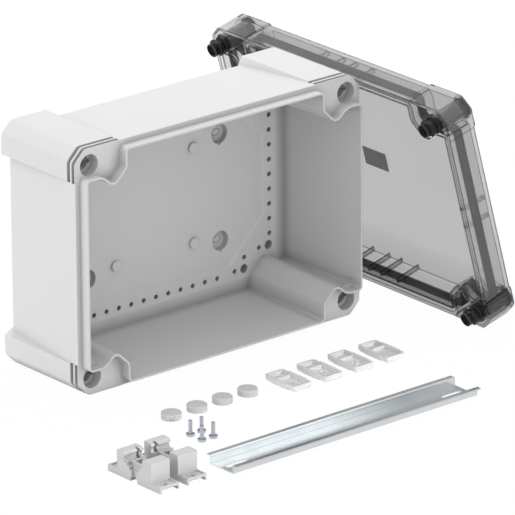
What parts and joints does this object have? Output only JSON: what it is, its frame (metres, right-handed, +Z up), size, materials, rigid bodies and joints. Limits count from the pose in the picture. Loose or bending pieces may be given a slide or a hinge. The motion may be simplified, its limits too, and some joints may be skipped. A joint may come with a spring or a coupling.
{
  "type": "installation enclosure",
  "caption": "Open rectangular plastic installation enclosure on its long side, its smoke-clear cover leaning on it, with plugs, wall lugs, screws, rail supports and a rail.",
  "frame": {"origin": "on the floor, under the middle of the whole kit as it is laid out", "axes": "+Z up; the base stands on its long side with its open side towards -Y, and the cover leans on its +X side"},
  "size_m": [0.437, 0.3832, 0.201],
  "materials": {
    "base_grey": "fine moulded, semi-matt light grey",
    "kit_grey": "fine moulded, semi-matt light grey",
    "smoke_clear": "clear smoke-tinted, glossy",
    "seal": "soft black foam rubber",
    "screw_black": "glossy near-black",
    "bright_steel": "bright zinc plate",
    "zinc": "smooth bright zinc",
    "label": "plain dark film"
  },
  "bodies": {
    "kit": {"base": "base_grey", "cover": "smoke_clear", "gasket": "seal", "inner_label": "label", "lug_screw_1": "bright_steel", "lug_screw_2": "bright_steel", "lug_screw_3": "bright_steel", "lug_screw_4": "bright_steel", "mounting_rail": "zinc", "plug_1": "kit_grey", "plug_2": "kit_grey", "plug_3": "kit_grey", "plug_4": "kit_grey", "rail_support_1": "kit_grey", "rail_support_2": "kit_grey", "wall_lug_1": "kit_grey", "wall_lug_2": "kit_grey", "wall_lug_3": "kit_grey", "wall_lug_4": "kit_grey"},
    "cover_screw_1": {"cover_screw_1": "screw_black"},
    "cover_screw_2": {"cover_screw_2": "screw_black"},
    "cover_screw_3": {"cover_screw_3": "screw_black"},
    "cover_screw_4": {"cover_screw_4": "screw_black"}
  },
  "joints": [
    {"name": "cover_screw_1_turn", "type": "hinge", "parent": "kit", "child": "cover_screw_1", "pos_m": [0.18787, -0.0795, 0.01323], "axis": [-0.9659, 0, -0.2588], "range_deg": [0, 90]},
    {"name": "cover_screw_2_turn", "type": "hinge", "parent": "kit", "child": "cover_screw_2", "pos_m": [0.18787, 0.1777, 0.01323], "axis": [-0.9659, 0, -0.2588], "range_deg": [0, 90]},
    {"name": "cover_screw_3_turn", "type": "hinge", "parent": "kit", "child": "cover_screw_3", "pos_m": [0.14294, -0.0795, 0.18092], "axis": [-0.9659, 0, -0.2588], "range_deg": [0, 90]},
    {"name": "cover_screw_4_turn", "type": "hinge", "parent": "kit", "child": "cover_screw_4", "pos_m": [0.14294, 0.1777, 0.18092], "axis": [-0.9659, 0, -0.2588], "range_deg": [0, 90]}
  ]
}
